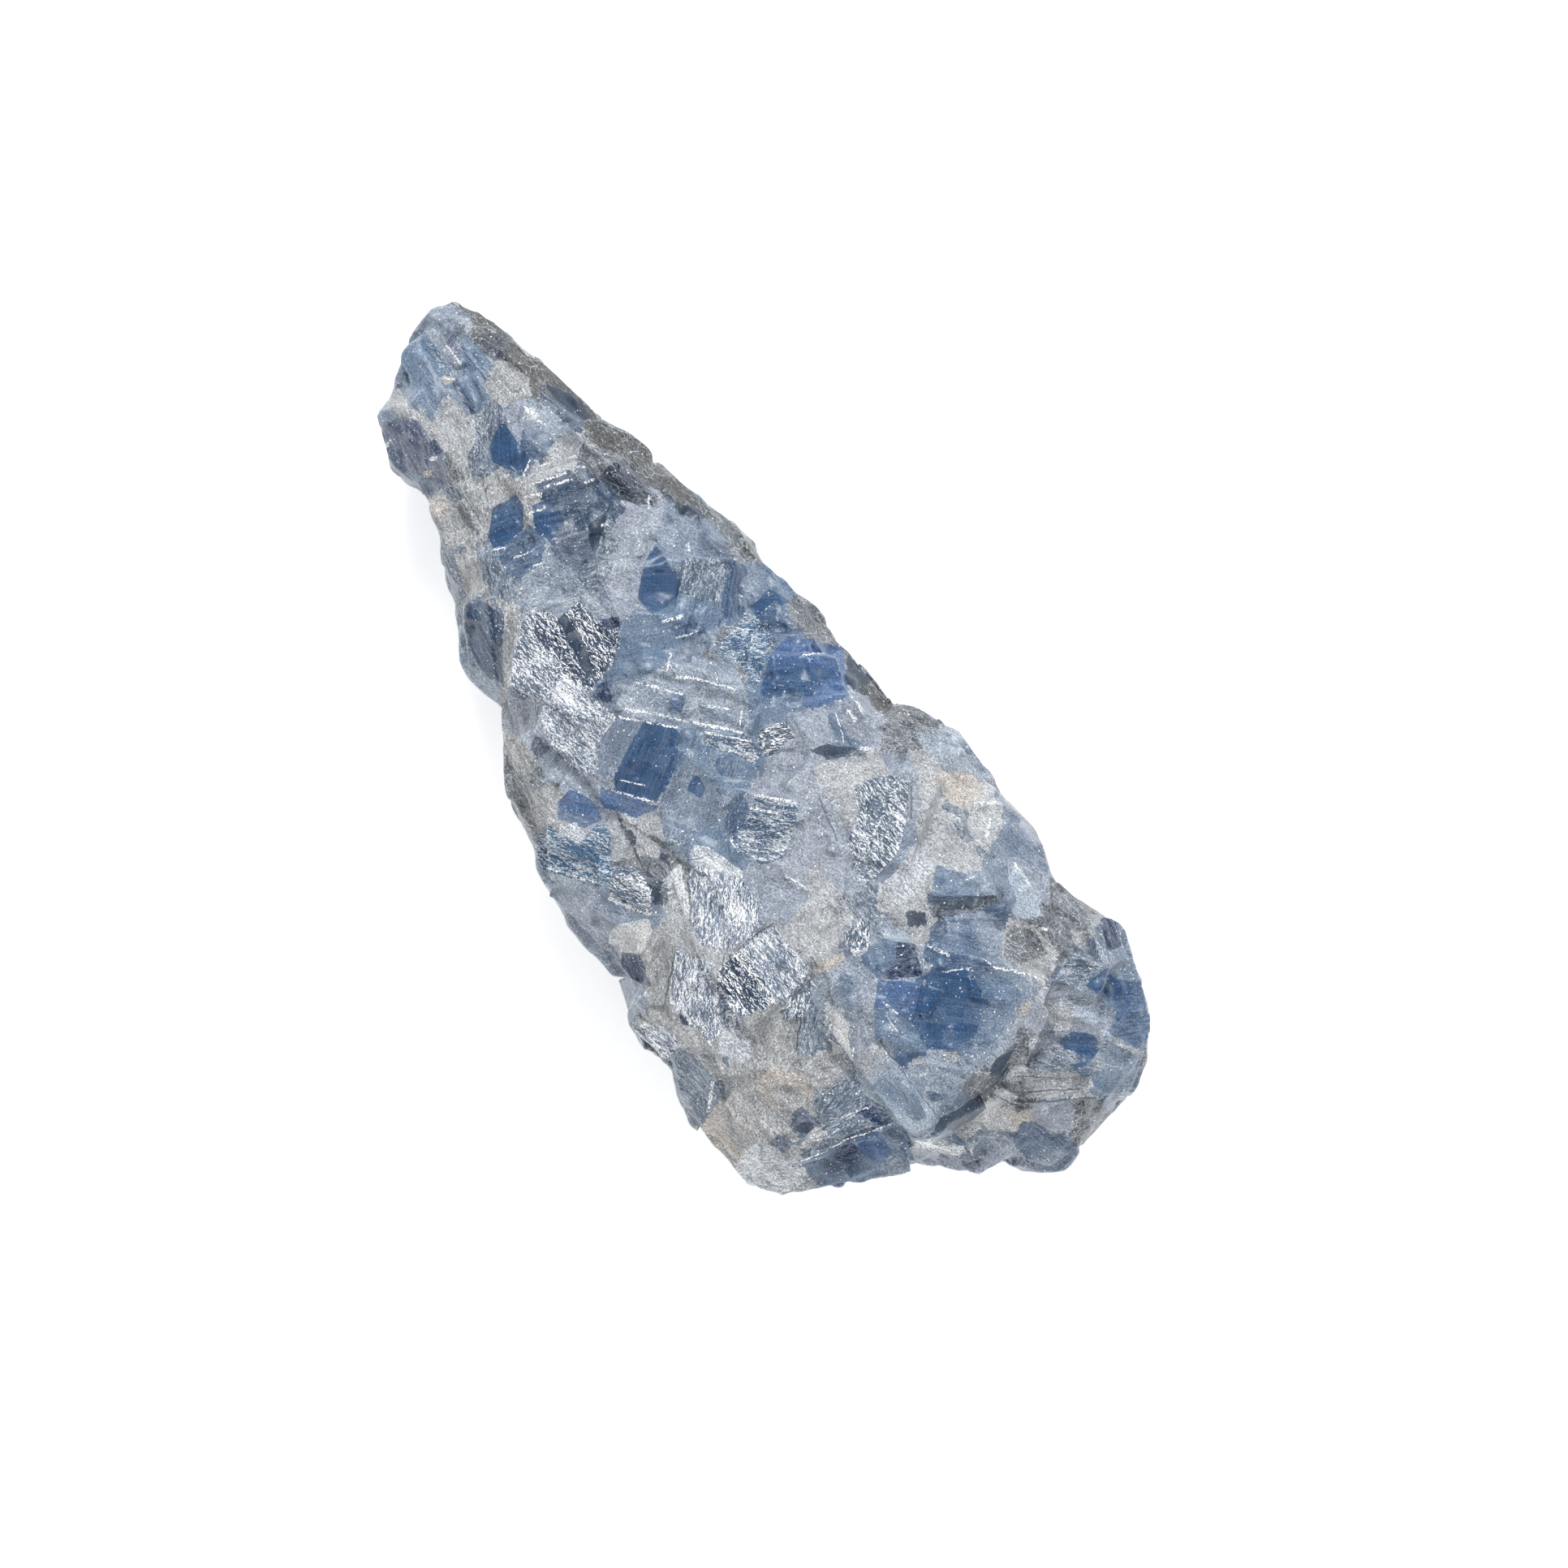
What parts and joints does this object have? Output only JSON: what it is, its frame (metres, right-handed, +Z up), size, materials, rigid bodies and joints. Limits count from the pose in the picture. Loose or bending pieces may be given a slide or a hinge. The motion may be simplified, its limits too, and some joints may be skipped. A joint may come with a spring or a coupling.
{
  "type": "calcite specimen",
  "caption": "Rough blue calcite lump of coarse, blocky crystals grown together, with stepped cleavage faces, tapering to one end and lying on its flattest side.",
  "frame": {"origin": "on the surface it lies on, below the middle of its bounding box", "axes": "+X from the narrow tip to the broad end, +Y across it, +Z up from the resting side to the crystal-covered side"},
  "size_m": [0.08, 0.0348, 0.0273],
  "materials": {
    "calcite": "Translucent, waxy blue to frosty white calcite with a vitreous shine on its cleavage faces, milky edges and beige grains between the crystals."
  },
  "bodies": {
    "root": {"blue_calcite": "calcite"}
  },
  "joints": []
}
